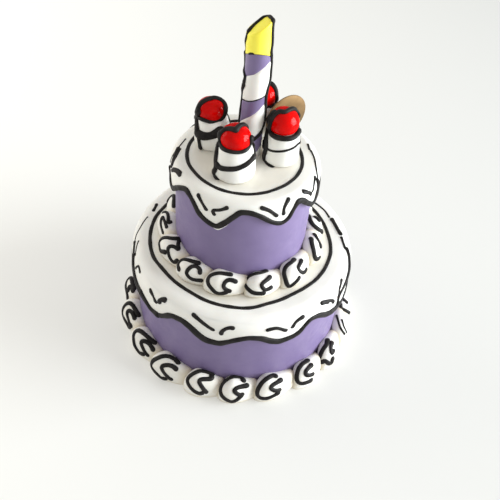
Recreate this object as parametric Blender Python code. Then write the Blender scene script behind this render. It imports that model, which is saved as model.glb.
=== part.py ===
"""A two-tier celebration cake drawn like a cartoon: purple tiers under white icing with a wavy
edge, piped black outlines, shell borders, cream dollops with cherries, and a striped candle.

Metres, +Z up. The origin is the centre of the lower tier's flat base. The front faces -Y.
An angle runs round a tier from the front (0), positive towards +X. Piped lines are raised ridges
that belong to the piece they lie on.
"""

import math

import bmesh
import bpy
from mathutils import Matrix, Vector
from mathutils.bvhtree import BVHTree

MM = 0.001
GAP = 0.3 * MM

# The two tiers: a cake core under a cap of icing. An edge lists the wavy rim of the cap as
# (angle, height of its drawn line in mm), from the left of the back round to the right of it.
LOWER = {
    "name": "lower",
    "centre": Vector((0.0, 0.0, 0.0)),
    "base": 0.0,
    "core_radius": 0.0838,
    "cap_radius": 0.0871,
    "top": 0.0880,
    "shoulder": 0.0100,
    "chamfer": 0.0040,
    "sides": 60,
    "circle_radius": 0.0710,
    "circle_shift": -0.0013,
    "circle_span": (0, 360),
    "rim_line": (2.4 * MM, 2.1 * MM),
    "edge": (
        (-180, 64), (-165, 74), (-148, 62), (-130, 77), (-118, 66), (-104, 73), (-90, 70),
        (-76, 62), (-64, 61), (-48, 60.5), (-41, 63), (-27, 76), (-12, 64), (-6, 64), (8, 73),
        (22, 65), (29, 65), (41, 77), (56, 65), (72, 56), (94, 70), (104, 72.5), (132, 76),
        (145, 74), (158, 64), (170, 66),
    ),
}
UPPER = {
    "name": "upper",
    "centre": Vector((-0.0024, 0.0, 0.0)),
    "base": 0.0880 + GAP,
    "core_radius": 0.0503,
    "cap_radius": 0.0536,
    "top": 0.1695,
    "shoulder": 0.0070,
    "chamfer": 0.0020,
    "sides": 48,
    "circle_radius": 0.0406,
    "circle_shift": -0.0011,
    "circle_span": (186, 482),
    "rim_line": (2.1 * MM, 1.9 * MM),
    "edge": (
        (-180, 150), (-170, 152), (-140, 156), (-122, 156), (-98, 153), (-78, 150), (-66, 153),
        (-45, 166), (-26, 150), (-17, 148), (1, 165), (15, 162), (26, 154), (33, 152), (45, 165.5),
        (61, 154), (72, 149), (98, 157.5), (116, 161), (135, 158), (150, 149), (165, 158),
    ),
}
CAP_THICKNESS = 3.0 * MM
CORE_CLEARANCE = 0.5 * MM

# Short strokes on each cap: points of (angle, mm down the surface from where the shoulder starts).
LOWER_DASHES = (
    ((-47, 13), (-43, 17.5)),
    ((-40, 14), (-37, 10)),
    ((-20, 8), (-10, 15.5)),
    ((-5.5, 18), (-4, 13), (0, 11)),
    ((16.5, 13), (21, 13.5), (26, 18)),
    ((29.5, 16), (31, 12), (35, 10)),
    ((48, 9), (52, 12)),
    ((78, 10), (78, 24)),
    ((-80, 8), (-76, 18)),
    ((-69, 21), (-64, 12)),
    ((-111, 6), (-105, 5)),
    ((96, 6), (91, 9)),
    ((128, 6), (135, 7)),
    ((158, 20), (163, 12)),
    ((-172, 12), (-163, 18)),
    ((-145, 20), (-150, 13)),
)
UPPER_DASHES = (
    ((-34, 5.5), (-26, 13)),
    ((-19, 14.5), (-20, 12), (-10, 7)),
    ((15.5, 5), (21, 8), (27, 13)),
    ((38, 4), (33, 8), (33, 13)),
    ((53, 4), (61, 10)),
    ((80, 8), (80, 16)),
    ((-70, 7.5), (-59, 4)),
    ((-91, 1), (-74, 7)),
    ((112, 3), (105, 3)),
    ((160, 6), (168, 12)),
    ((-160, 12), (-150, 7)),
    ((-128, 5), (-120, 10)),
)
DASH_LINE = (1.6 * MM, 1.2 * MM)
CIRCLE_LINE = (1.6 * MM, 1.1 * MM)
LINE_SUNK = 0.85 * MM

# The borders: fat shells laid head to tail round the foot of each tier. The front shells sit at
# the angles given, and the rest fill the back evenly.
LOWER_BORDER = {
    "tier": LOWER,
    "floor": 0.0,
    "outer": 0.0992,
    "height": 0.0200,
    "front": (-92, -75.5, -55.5, -36, -15.5, 2, 19.5, 40, 58.5, 77, 94),
    "back_count": 9,
}
UPPER_BORDER = {
    "tier": UPPER,
    "floor": UPPER["base"],
    "outer": 0.0655,
    "height": 0.0155,
    "front": (-112, -90, -64, -36, -11.5, 18, 45, 77, 102),
    "back_count": 5,
}
# A shell's section leans on the wall of its tier: shares of its half-width, from the outside to
# the wall, and of its height.
SHELL_STATIONS = (0.04, 0.22, 0.55, 1.05, 1.5, 1.9)
SHELL_SECTION = (
    (-0.86, 0.0), (-1.0, 0.34), (-0.64, 0.84), (0.10, 1.0), (1.0, 0.86), (1.0, 0.0),
)
HEAD_LENGTH = 1.4
DRAWN_FROM = math.radians(45)
# Strokes on a shell, as shares of their scale, seen from the front and above. The scale and the
# height of their centre are shares of the shell's height.
SHELL_STROKES = (
    ((0.95, 0.60), (0.0, 0.78), (-0.80, 0.15), (-0.50, -0.65), (0.50, -0.75)),
    ((1.10, 0.20), (0.40, 0.0), (0.85, -0.45)),
)
STROKE_CENTRE = 0.45
STROKE_SCALE = 0.52
STROKE_LOWEST = 2.8 * MM
STROKE_LINE = (1.5 * MM, 1.1 * MM)

# The cream dollops on top: a turned stub, widened and stretched for each one.
STUB_TOP = 24.5 * MM
STUB = (
    (12.2 * MM, 0.0), (13.3 * MM, 3.0 * MM), (13.0 * MM, 10.0 * MM), (12.0 * MM, 18.0 * MM),
    (11.0 * MM, 22.5 * MM), (9.6 * MM, STUB_TOP),
)
# Each has a place, a width and height as shares of the stub's, a drawn band with its left and
# right heights and half-width, and a cherry with its radius, height and shift to the right.
DOLLOPS = (
    {
        "name": "front", "place": (-0.0094, -0.0201), "width": 1.07, "height": 1.0,
        "band": (12 * MM, 21 * MM, 2.3 * MM),
        "cherry": (10.2 * MM, 14.2 * MM, -0.5 * MM),
    },
    {
        "name": "left", "place": (-0.0281, 0.0113), "width": 0.95, "height": 0.94,
        "band": (12 * MM, 20 * MM, 2.8 * MM),
        "cherry": (10.0 * MM, 12.8 * MM, -1.4 * MM),
    },
    {
        "name": "right", "place": (0.0214, 0.0008), "width": 0.95, "height": 1.02,
        "band": (12 * MM, 20 * MM, 1.4 * MM),
        "cherry": (10.4 * MM, 15.6 * MM, -0.5 * MM),
    },
    {
        "name": "back", "place": (0.0050, 0.0325), "width": 0.96, "height": 1.0,
        "band": (12 * MM, 20 * MM, 1.4 * MM),
        "cherry": (10.2 * MM, 14.2 * MM, 0.0),
    },
)
CHERRY_CENTRE = 5.2 * MM
BAND_REACH = 68
OUTLINE = (1.6 * MM, 1.4 * MM)

# The candle: a bowed cylinder with a slanted yellow top. Its joint rises towards the front.
CANDLE_PLACE = (-0.0013, 0.0030)
CANDLE_RADIUS = 8.3 * MM
CANDLE_BOW = 1.6 * MM
CANDLE_JOINT = 0.2475
JOINT_SLOPE = 0.62
CANDLE_TIP_LOW = 0.2630
CANDLE_TIP_HIGH = 0.2730

# A plain gold disc that stands on its rim behind the right dollop.
DISC_CENTRE = (0.0227, 0.0265)
DISC_RADIUS = 17.0 * MM
DISC_THICKNESS = 1.0 * MM
DISC_TURN = 37

COLOURS = {
    "white_icing": ((0.87, 0.86, 0.83), 0.42, 0.0),
    "purple_icing": ((0.25, 0.20, 0.44), 0.50, 0.0),
    "black_line": ((0.012, 0.012, 0.013), 0.25, 0.0),
    "red_cherry": ((0.75, 0.01, 0.02), 0.22, 0.0),
    "yellow_tip": ((0.93, 0.78, 0.06), 0.40, 0.0),
    "gold_disc": ((0.62, 0.42, 0.20), 0.35, 0.9),
}


def clear_scene():
    for thing in list(bpy.data.objects):
        bpy.data.objects.remove(thing)


def make_materials():
    made = {}
    for name, (colour, roughness, metallic) in COLOURS.items():
        made[name] = bpy.data.materials.new(name)
        made[name].use_nodes = True
        shader = made[name].node_tree.nodes["Principled BSDF"]
        shader.inputs["Base Color"].default_value = (*colour, 1.0)
        shader.inputs["Roughness"].default_value = roughness
        shader.inputs["Metallic"].default_value = metallic
    return made


def spot(radius, angle, z):
    """The point at an angle in degrees from the front, round an upright axis at the origin."""
    turn = math.radians(angle)
    return Vector((radius * math.sin(turn), -radius * math.cos(turn), z))


def ring(radius, z, sides):
    return [spot(radius, 360 * step / sides, z) for step in range(sides)]


def loft(name, sections, material, loop=False):
    """One closed solid through sections with equally many points, capped flat unless it loops."""
    shape = bmesh.new()
    rows = [[shape.verts.new(point) for point in section] for section in sections]
    following = rows[1:] + rows[:1] if loop else rows[1:]
    for row, beyond in zip(rows, following):
        for here in range(len(row)):
            ahead = (here + 1) % len(row)
            shape.faces.new((row[here], row[ahead], beyond[ahead], beyond[here]))
    if not loop:
        shape.faces.new(rows[0])
        shape.faces.new(rows[-1])
    bmesh.ops.recalc_face_normals(shape, faces=shape.faces)
    mesh = bpy.data.meshes.new(name)
    shape.to_mesh(mesh)
    shape.free()
    mesh.materials.append(MATERIALS[material])
    piece = bpy.data.objects.new(name, mesh)
    bpy.context.scene.collection.objects.link(piece)
    return piece


def ridge(name, path, line, loop=False):
    """A raised line of triangular section along (point, normal) pairs, its foot sunk below them."""
    half_width, height = line
    count = len(path)
    sections = []
    for step, (point, normal) in enumerate(path):
        before = path[step - 1 if loop or step else 0][0]
        after = path[(step + 1) % count if loop else min(step + 1, count - 1)][0]
        side = normal.cross(after - before).normalized() * half_width
        foot = point - normal * LINE_SUNK
        sections.append([foot - side, point + normal * height, foot + side])
    return loft(name, sections, "black_line", loop)


def fuse(piece, lines):
    """Join raised lines to the piece that they lie on, so that they are one closed solid."""
    helpers = bpy.data.collections.new(piece.name + "_lines")
    bpy.context.scene.collection.children.link(helpers)
    for line in lines:
        bpy.context.scene.collection.objects.unlink(line)
        helpers.objects.link(line)
        line.matrix_world = piece.matrix_world
    union = piece.modifiers.new("lines", "BOOLEAN")
    union.operation = "UNION"
    union.operand_type = "COLLECTION"
    union.collection = helpers
    union.solver = "EXACT"
    union.material_mode = "TRANSFER"
    bpy.context.view_layer.update()
    evaluated = piece.evaluated_get(bpy.context.evaluated_depsgraph_get())
    joined = bpy.data.meshes.new_from_object(evaluated)
    piece.modifiers.clear()
    piece.data = joined
    for line in lines:
        bpy.data.objects.remove(line)
    bpy.data.collections.remove(helpers)


def smooth(piece, angle=35):
    piece.data.shade_smooth()
    piece.data.set_sharp_from_angle(angle=math.radians(angle))


def edge_height(tier, angle):
    """Height of the wavy rim: a smooth curve that turns only at the points listed."""
    points = [(turn, height * MM) for turn, height in tier["edge"]]
    count = len(points)
    angle = (angle + 180) % 360 - 180
    here = max(step for step in range(count) if points[step][0] <= angle)

    def knot(step):
        turn, height = points[step % count]
        return turn + 360 * (step // count), height

    def rise(step):
        (start, low), (end, high) = knot(step), knot(step + 1)
        return (high - low) / (end - start)

    def slope(step):
        one, two = rise(step - 1), rise(step)
        return 2 * one * two / (one + two) if one * two > 0 else 0.0

    (start, low), (end, high) = knot(here), knot(here + 1)
    span = end - start
    share = (angle - start) / span
    ease = share * share * (3 - 2 * share)
    bend_in = share * (1 - share) ** 2
    bend_out = share * share * (share - 1)
    return low + (high - low) * ease + span * (slope(here) * bend_in + slope(here + 1) * bend_out)


def cap_point(tier, down):
    """Radius, height and normal of the cap's outer face, down mm from where its shoulder starts."""
    curve = tier["shoulder"]
    flat_radius = tier["cap_radius"] - curve
    turn = min(max(down / curve, 0.0), math.pi / 2)
    radius = flat_radius + curve * math.sin(turn) + min(down, 0.0)
    height = tier["top"] - curve * (1 - math.cos(turn)) - max(down - curve * math.pi / 2, 0.0)
    return radius, height, math.sin(turn), math.cos(turn)


def rim_distance(tier, angle):
    """How far down the cap's outer face its wavy rim lies."""
    curve = tier["shoulder"]
    drop = tier["top"] - edge_height(tier, angle)
    if drop < curve:
        return curve * math.acos(1 - drop / curve)
    return curve * math.pi / 2 + drop - curve


def cap_column(tier, angle):
    """One column of the cap, from its flat top over the shoulder and the rim's line to inside."""
    half_width, height = tier["rim_line"]
    rim = rim_distance(tier, angle)
    bead = rim - half_width
    spare = 0.4 * MM
    turns = [math.radians(degrees) for degrees in (0, 30, 58, 90)]
    downs = [
        min(tier["shoulder"] * turn, bead - spare * (len(turns) - step))
        for step, turn in enumerate(turns)
    ]
    downs.append(bead)
    column = []
    for down in downs:
        radius, z, _, _ = cap_point(tier, down)
        column.append(spot(radius, angle, z))
    radius, z, out, up = cap_point(tier, rim)
    for along, proud in ((-0.5, 1.0), (0.5, 1.0), (1.0, 0.0)):
        reach = radius + out * height * proud + up * half_width * along
        column.append(spot(reach, angle, z + up * height * proud - out * half_width * along))
    inside = tier["core_radius"] + CORE_CLEARANCE
    ceiling = tier["top"] - CAP_THICKNESS
    column.append(spot(inside, angle, column[-1].z + spare))
    column.append(spot(inside, angle, ceiling - tier["chamfer"]))
    column.append(spot(inside - tier["chamfer"], angle, ceiling))
    return column


def drawn_circle(tier):
    """The circle drawn on a cap's flat top: whole, or open where toppings stand in its way."""
    start, end = tier["circle_span"]
    whole = end - start == 360
    steps = 36
    middle = Vector((tier["circle_shift"], 0, 0))
    path = []
    for step in range(steps if whole else steps + 1):
        angle = start + (end - start) * step / steps
        point = middle + spot(tier["circle_radius"], angle, tier["top"])
        path.append((point, Vector((0, 0, 1))))
    return ridge("circle", path, CIRCLE_LINE, loop=whole)


def cap_dash(tier, points):
    path = []
    for angle, down in points:
        radius, z, out, up = cap_point(tier, down * MM)
        path.append((spot(radius, angle, z), spot(out, angle, up)))
    return ridge("dash", path, DASH_LINE)


def make_tier(tier, dashes):
    sides = tier["sides"]
    radius, chamfer = tier["core_radius"], tier["chamfer"]
    height = tier["top"] - CAP_THICKNESS - GAP - tier["base"]
    profile = ((radius, 0.0), (radius, height - chamfer), (radius - chamfer, height))
    core = loft(
        tier["name"] + "_tier",
        [ring(reach, level, sides) for reach, level in profile],
        "purple_icing",
    )
    core.location = tier["centre"] + Vector((0, 0, tier["base"]))
    columns = [cap_column(tier, 360 * step / sides) for step in range(sides)]
    cap = loft(tier["name"] + "_icing", list(zip(*columns)), "white_icing")
    fuse(cap, [drawn_circle(tier)] + [cap_dash(tier, points) for points in dashes])
    cap.location = tier["centre"]
    return core, cap


def shell_angles(border):
    front = border["front"]
    step = (front[0] + 360 - front[-1]) / (border["back_count"] + 1)
    back = [front[-1] + step * (place + 1) for place in range(border["back_count"])]
    return list(front) + back


def shell_sections(border, pitch):
    """Cross-sections of a shell whose round head sits at the front and whose tail runs right."""
    inner = border["tier"]["core_radius"] + 1.5 * GAP
    half = (border["outer"] - inner) / 2
    head_radius = inner + half
    head = HEAD_LENGTH * half
    tail = math.radians(pitch) * head_radius - head
    sections = []
    for station in SHELL_STATIONS:
        if station < 1:
            bulge = math.sqrt(1 - (1 - station) ** 2)
            along = -head * (1 - station)
            width = half * bulge
            middle = head_radius
            height = border["height"] * (0.40 + 0.60 * bulge)
        else:
            share = (station - 1) / (SHELL_STATIONS[-1] - 1)
            along = tail * share
            width = half * (1 - 0.50 * share**1.6)
            middle = inner + width
            height = border["height"] * (1 - 0.30 * share)
        angle = math.degrees(along / head_radius)
        sections.append(
            [spot(middle - width * x, angle, height * z) for x, z in SHELL_SECTION]
        )
    return sections, half, head_radius


def strokes_on(piece, centre, scale, line):
    """Strokes laid on a shell as they are drawn, from the front and above."""
    towards = Vector((0, math.cos(DRAWN_FROM), -math.sin(DRAWN_FROM)))
    upward = Vector((0, math.sin(DRAWN_FROM), math.cos(DRAWN_FROM)))
    shape = bmesh.new()
    shape.from_mesh(piece.data)
    surface = BVHTree.FromBMesh(shape)
    strokes = []
    for stroke in SHELL_STROKES:
        path = []
        for across, high in stroke:
            start = centre + Vector((across * scale, 0, 0)) + upward * (high * scale)
            point, normal, _, _ = surface.ray_cast(start - towards * 0.1, towards)
            if point and point.z > STROKE_LOWEST:
                path.append((point, normal))
        strokes.append(ridge("stroke", path, line))
    shape.free()
    return strokes


def make_border(border):
    tier = border["tier"]
    angles = shell_angles(border)
    pieces = []
    for number, angle in enumerate(angles):
        following = angles[(number + 1) % len(angles)]
        pitch = (following - angle) % 360
        sections, half, head_radius = shell_sections(border, pitch)
        name = f"{tier['name']}_shell_{number + 1:02d}"
        shell = loft(name, sections, "white_icing")
        height = border["height"]
        centre = Vector((0.15 * half, -head_radius, STROKE_CENTRE * height))
        fuse(shell, strokes_on(shell, centre, STROKE_SCALE * height, STROKE_LINE))
        shell.location = tier["centre"] + Vector((0, 0, border["floor"]))
        shell.rotation_euler.z = math.radians(angle)
        pieces.append(shell)
    return pieces


def stub_of(dollop):
    return [(radius * dollop["width"], z * dollop["height"]) for radius, z in STUB]


def stub_radius(stub, z):
    for (low_radius, low), (high_radius, high) in zip(stub, stub[1:]):
        if low <= z <= high:
            return low_radius + (high_radius - low_radius) * (z - low) / (high - low)
    return stub[-1][0]


def make_dollop(dollop):
    """A turned stub with a band, a line down its left side and a line round its upper rim."""
    stub = stub_of(dollop)
    sides = 16
    body = loft("dollop_" + dollop["name"], [ring(r, z, sides) for r, z in stub], "white_icing")
    steps = 6
    low, high, band_half_width = dollop["band"]
    band_path = []
    for step in range(steps + 1):
        share = step / steps
        angle = BAND_REACH * (2 * share - 1)
        z = low + (high - low) * share - 2 * MM * math.sin(math.pi * share)
        band_path.append((spot(stub_radius(stub, z), angle, z), spot(1, angle, 0)))
    side_path = []
    for share in (0.15, 0.45, 0.78, 0.90):
        z = share * stub[-1][1]
        side_path.append((spot(stub_radius(stub, z), -BAND_REACH, z), spot(1, -BAND_REACH, 0)))
    rim_radius, rim_z = stub[-2]
    rim_path = []
    for step in range(-3, 4):
        angle = step * 29
        rim_path.append((spot(rim_radius, angle, rim_z), spot(0.7, angle, 0.7)))
    fuse(
        body,
        [
            ridge("band", band_path, (band_half_width, 1.2 * MM)),
            ridge("side", side_path, OUTLINE),
            ridge("rim", rim_path, OUTLINE),
        ],
    )
    body.location = (*dollop["place"], UPPER["top"] + GAP)
    return body


def cherry_point(way, radius, upper):
    """Point and normal of a cherry in a direction from its centre."""
    shape = Vector((radius, radius, upper))
    reach = 1 / math.sqrt(sum((way[axis] / shape[axis]) ** 2 for axis in range(3)))
    point = way * reach
    normal = Vector([point[axis] / shape[axis] ** 2 for axis in range(3)]).normalized()
    return point + Vector((0, 0, CHERRY_CENTRE)), normal


def make_cherry(dollop):
    """A flattened ball with a flat foot, and a heart-like line drawn over its top."""
    radius, height, shift = dollop["cherry"]
    sides = 14
    upper = height - CHERRY_CENTRE
    rows = [(0.84, 0.0), (0.98, 0.5 * CHERRY_CENTRE), (1.0, CHERRY_CENTRE)]
    for turn in (28, 55, 78):
        lift = math.radians(turn)
        rows.append((math.cos(lift), CHERRY_CENTRE + upper * math.sin(lift)))
    sections = [ring(radius * width, z, sides) for width, z in rows]
    cherry = loft("cherry_" + dollop["name"], sections, "red_cherry")
    path = []
    for turn in range(0, 181, 20):
        lift = math.radians(turn)
        notch = 1 - 0.38 * math.exp(-(((turn - 90) / 22) ** 2))
        towards = Vector((0, -math.cos(DRAWN_FROM), math.sin(DRAWN_FROM)))
        upward = Vector((0, math.sin(DRAWN_FROM), math.cos(DRAWN_FROM)))
        way = Vector((-math.cos(lift), 0, 0)) + upward * math.sin(lift) * notch + towards * 0.45
        path.append(cherry_point(way.normalized(), radius, upper))
    fuse(cherry, [ridge("heart", path, OUTLINE)])
    across, along = dollop["place"]
    stub_top = stub_of(dollop)[-1][1]
    cherry.location = (across + shift, along, UPPER["top"] + stub_top + 2 * GAP)
    return cherry


def candle_axis(z):
    """The candle's middle at a height: it bows to the right between its foot and its tip."""
    share = (z - UPPER["top"]) / (CANDLE_TIP_HIGH - UPPER["top"])
    return CANDLE_BOW * math.sin(math.pi * share**1.5)


def candle_ring(z, rise_right=0.0, rise_front=0.0):
    """A ring of the candle, tilted by a rise per metre towards the right and the front."""
    sides = 14
    section = []
    for point in ring(CANDLE_RADIUS, 0.0, sides):
        lift = rise_right * point.x - rise_front * point.y
        section.append(Vector((point.x + candle_axis(z), point.y, z + lift)))
    return section


def joint_height(angle):
    """Height of the joint under the yellow tip, at an angle round the candle."""
    return CANDLE_JOINT + JOINT_SLOPE * CANDLE_RADIUS * math.cos(math.radians(angle))


def candle_line(angle, low, high):
    path = []
    steps = 4
    for step in range(steps + 1):
        z = low + (high - low) * step / steps
        middle = Vector((candle_axis(z), 0, 0))
        path.append((middle + spot(CANDLE_RADIUS, angle, z), spot(1, angle, 0)))
    return ridge("side", path, OUTLINE)


def make_candle():
    foot = UPPER["top"] + GAP
    levels = [foot + (CANDLE_JOINT - foot) * step / 5 for step in range(5)]
    sections = [candle_ring(z) for z in levels]
    sections.append(candle_ring(CANDLE_JOINT - GAP, 0.0, JOINT_SLOPE))
    body = loft("candle", sections, "purple_icing")
    side, spread = 82, 14
    end = joint_height(side + spread) - 2 * GAP
    fuse(body, [candle_line(angle, foot + GAP, end) for angle in (-side, side)])
    slant = (CANDLE_TIP_HIGH - CANDLE_TIP_LOW) / (2 * CANDLE_RADIUS)
    middle = (CANDLE_TIP_HIGH + CANDLE_TIP_LOW) / 2
    joint = CANDLE_JOINT + GAP
    sections = [
        candle_ring(joint, 0.0, JOINT_SLOPE),
        candle_ring((joint + middle) / 2, slant / 2, JOINT_SLOPE / 2),
        candle_ring(middle, slant, 0.0),
    ]
    tip = loft("candle_tip", sections, "yellow_tip")
    rim = []
    for angle in range(-75, 106, 30):
        out = spot(CANDLE_RADIUS, angle, 0)
        point = Vector((out.x + candle_axis(middle), out.y, middle + slant * out.x))
        rim.append((point, spot(0.5, angle, 0.85).normalized()))
    start = joint_height(side - spread) + 2 * GAP
    lines = [
        candle_line(-side, start, CANDLE_TIP_LOW),
        candle_line(side, start, CANDLE_TIP_HIGH - 2 * MM),
    ]
    fuse(tip, lines + [ridge("rim", rim, (1.9 * MM, 1.4 * MM))])
    for piece in (body, tip):
        piece.location = (*CANDLE_PLACE, 0)
    return body, tip


def make_disc():
    sides = 28
    faces = (-DISC_THICKNESS / 2, DISC_THICKNESS / 2)
    disc = loft("gold_disc", [ring(DISC_RADIUS, z, sides) for z in faces], "gold_disc")
    disc.data.transform(Matrix.Rotation(math.pi / 2, 4, "X"))
    disc.location = (*DISC_CENTRE, UPPER["top"] + GAP + DISC_RADIUS)
    disc.rotation_euler.z = math.radians(DISC_TURN)
    return disc


def main():
    cake = bpy.data.objects.new("cake", None)
    bpy.context.scene.collection.objects.link(cake)
    pieces = [*make_tier(LOWER, LOWER_DASHES), *make_tier(UPPER, UPPER_DASHES)]
    pieces += make_border(LOWER_BORDER) + make_border(UPPER_BORDER)
    for dollop in DOLLOPS:
        pieces.append(make_dollop(dollop))
        pieces.append(make_cherry(dollop))
    pieces += make_candle()
    pieces.append(make_disc())
    for piece in pieces:
        smooth(piece)
        piece.parent = cake


clear_scene()
MATERIALS = make_materials()
main()
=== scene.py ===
"""The looks of a two-tier celebration cake drawn like a cartoon.

Metres, +Z up. The front faces -Y. An angle runs round a tier from the front (0), positive
towards +X. Lines that the photo shows are named lists of its pixels, in a frame 500 pixels
square, and are laid on the surface that each pixel's ray meets.
"""

import math
import random
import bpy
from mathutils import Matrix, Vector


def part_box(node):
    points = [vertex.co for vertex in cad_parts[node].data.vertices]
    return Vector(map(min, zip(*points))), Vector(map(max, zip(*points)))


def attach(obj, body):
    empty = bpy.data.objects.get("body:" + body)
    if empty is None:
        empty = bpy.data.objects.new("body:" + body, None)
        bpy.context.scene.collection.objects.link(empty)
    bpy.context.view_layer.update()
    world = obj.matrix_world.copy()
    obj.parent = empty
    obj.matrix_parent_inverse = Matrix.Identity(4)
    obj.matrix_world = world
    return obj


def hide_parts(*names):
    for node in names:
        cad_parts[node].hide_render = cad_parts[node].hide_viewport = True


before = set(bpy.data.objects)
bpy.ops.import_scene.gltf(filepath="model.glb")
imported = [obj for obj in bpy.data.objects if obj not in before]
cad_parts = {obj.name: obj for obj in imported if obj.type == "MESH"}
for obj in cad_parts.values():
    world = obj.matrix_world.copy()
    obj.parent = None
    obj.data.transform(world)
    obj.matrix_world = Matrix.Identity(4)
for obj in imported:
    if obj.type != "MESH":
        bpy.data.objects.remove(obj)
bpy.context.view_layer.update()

from types import SimpleNamespace

import bpy
from mathutils import Matrix, Vector, noise
from mathutils.bvhtree import BVHTree

MM = 0.001

# The camera: the photo's own view, from above and in front.
PHOTO_SIZE = 500
FOCAL_PIXELS = 700
SENSOR = 36
CAMERA_PLACE = Vector((0.0064, -0.3888, 0.4812))
CAMERA_DOWN = math.radians(46.38)
CAMERA_ROLL = math.radians(5.52)
X_AXIS = Vector((1, 0, 0))
FORWARD = Vector((0, math.cos(CAMERA_DOWN), -math.sin(CAMERA_DOWN)))
LEVEL_UP = X_AXIS.cross(FORWARD)
VIEW_RIGHT = math.cos(CAMERA_ROLL) * X_AXIS + math.sin(CAMERA_ROLL) * LEVEL_UP
VIEW_UP = math.cos(CAMERA_ROLL) * LEVEL_UP - math.sin(CAMERA_ROLL) * X_AXIS

# The stage: each light's place, size, power and colour, and a floor with painted light: darker to the
# right, where the window light falls, lighter to the left, in the cake's shadow, and glowing a little
# though it is no lamp.
LIGHTS = {
    "window": ((1.5, -0.08, 0.38), 1.3, 61, (0.93, 0.97, 1.0)),
    "fill": ((-1.2, 0.40, 0.50), 1.2, 7, (1.0, 0.96, 0.88)),
}
LIGHTS_AIM = Vector((0, 0, 0.1))
ROOM_LIGHT = {"Color": (1.0, 0.985, 0.955), "Strength": 0.70}
FLOOR_REACH = 4.0
# Painted light and shade: the floor is lighter at the left, in the cake's shadow, and darker at the
# right, under the window light.
FLOOR_LEFT = (0.75, 0.75, 0.72)
FLOOR_RIGHT = (0.20, 0.21, 0.21)
FLOOR_FADE = 0.70
# Painted light: the floor glows to lift its shadows, though it is no lamp.
FLOOR_PAINTED_GLOW = {"Emission Color": (1.0, 0.99, 0.95), "Emission Strength": 0.34}

# The purple cake's rounded top edge, and the white cap's wall and roof over it.
CAKE_ROUND = 2.5 * MM
CAP_WALL = 3.3 * MM
CAP_ROOF = 3.3 * MM
# How far the white reaches below the middle of its rim's line, and how round its lower edge is.
LIP = 2.0 * MM
LIP_ROUND = 1.3 * MM
# Where more of it shows below the upper rim's line: middle angle, spread in degrees, and mm.
UPPER_LIP_SHOWS = (-11, 11, 2.7)
# How much painted shade a flat top has inside its circle, where the tier above or the toppings shade it,
# and over what length it fades in.
LEDGE_PAINTED_SHADE = 0.35
LEDGE_FADE = 6 * MM
# Each cap's wavy rim as (angle, height of its piped line in mm).
LOWER_EDGE = (
    (-180, 64), (-165, 74), (-148, 62), (-130, 77), (-118, 66), (-104, 73), (-90, 70), (-76, 62),
    (-66, 61), (-54, 61.5), (-48, 60.5), (-42, 62), (-36, 69), (-31, 75), (-26.5, 76), (-21, 72.5),
    (-17, 67.5), (-12, 63.8), (-7, 63.4), (-3, 66), (2, 70.2), (7.8, 73), (13.6, 71.8), (18.3, 67.2),
    (24, 64.6), (29.5, 65), (34, 68), (37, 73), (40, 77), (44, 76.2), (50, 70.5), (56, 65), (63, 61),
    (72, 56), (80, 57), (90, 64), (100, 72), (118, 75), (132, 76.5), (145, 74), (158, 63), (170, 66),
)
UPPER_EDGE = (
    (-180, 150), (-170, 152), (-140, 156), (-122, 156), (-98, 153), (-84, 150), (-72, 150), (-64, 154),
    (-54, 162), (-45.5, 166), (-39.4, 163.4), (-31.5, 154), (-24.6, 149.8), (-17, 148.2), (-11, 153),
    (-4, 161), (0.8, 165.2), (6.7, 165), (14.4, 162.2), (20.2, 157.7), (26, 153.9), (32.5, 151.7),
    (37.2, 153.6), (41.4, 161), (45.2, 165.6), (49.3, 164.5), (55, 159.4), (61, 154), (68, 149.5),
    (76, 149), (86, 153), (98, 157.5), (110, 161), (122, 160.5), (135, 158), (150, 149), (165, 158),
)
# How thick the rim's line is round each tier, as (angle, share of its half-width).
LOWER_RIM_SHARES = (
    (-180, 1.0), (-75, 0.85), (-45, 0.85), (-33, 1.0), (-24, 1.28), (-12, 1.28), (-3, 1.0), (8, 1.0),
    (18, 1.18), (28, 1.1), (38, 0.95), (52, 1.12), (75, 0.85),
)
UPPER_RIM_SHARES = (
    (-180, 1.0), (-60, 0.95), (-40, 1.1), (-15, 1.12), (10, 1.0), (30, 0.92), (50, 1.1), (70, 0.9),
)
# The circle drawn on each flat top, as (angle, radius in mm): it isn't quite round.
LOWER_CIRCLE = (
    (-180, 70), (-149, 72.2), (-116.5, 70.7), (-98, 72.6), (-67.4, 72.9), (-51.7, 70.7), (-31, 70.4),
    (-14, 71.7), (7, 72), (19, 69.4), (41, 67.9), (63.5, 69.4), (83, 69.6), (105, 68.2), (129, 68),
    (156, 70.5),
)
UPPER_CIRCLE = (
    (-180, 40.6), (-104, 41.8), (-75, 41.9), (-49, 41), (-21, 41), (8.5, 40.6), (39, 39.5), (79, 39.7),
    (103, 39.3), (151, 40.4),
)
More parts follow.
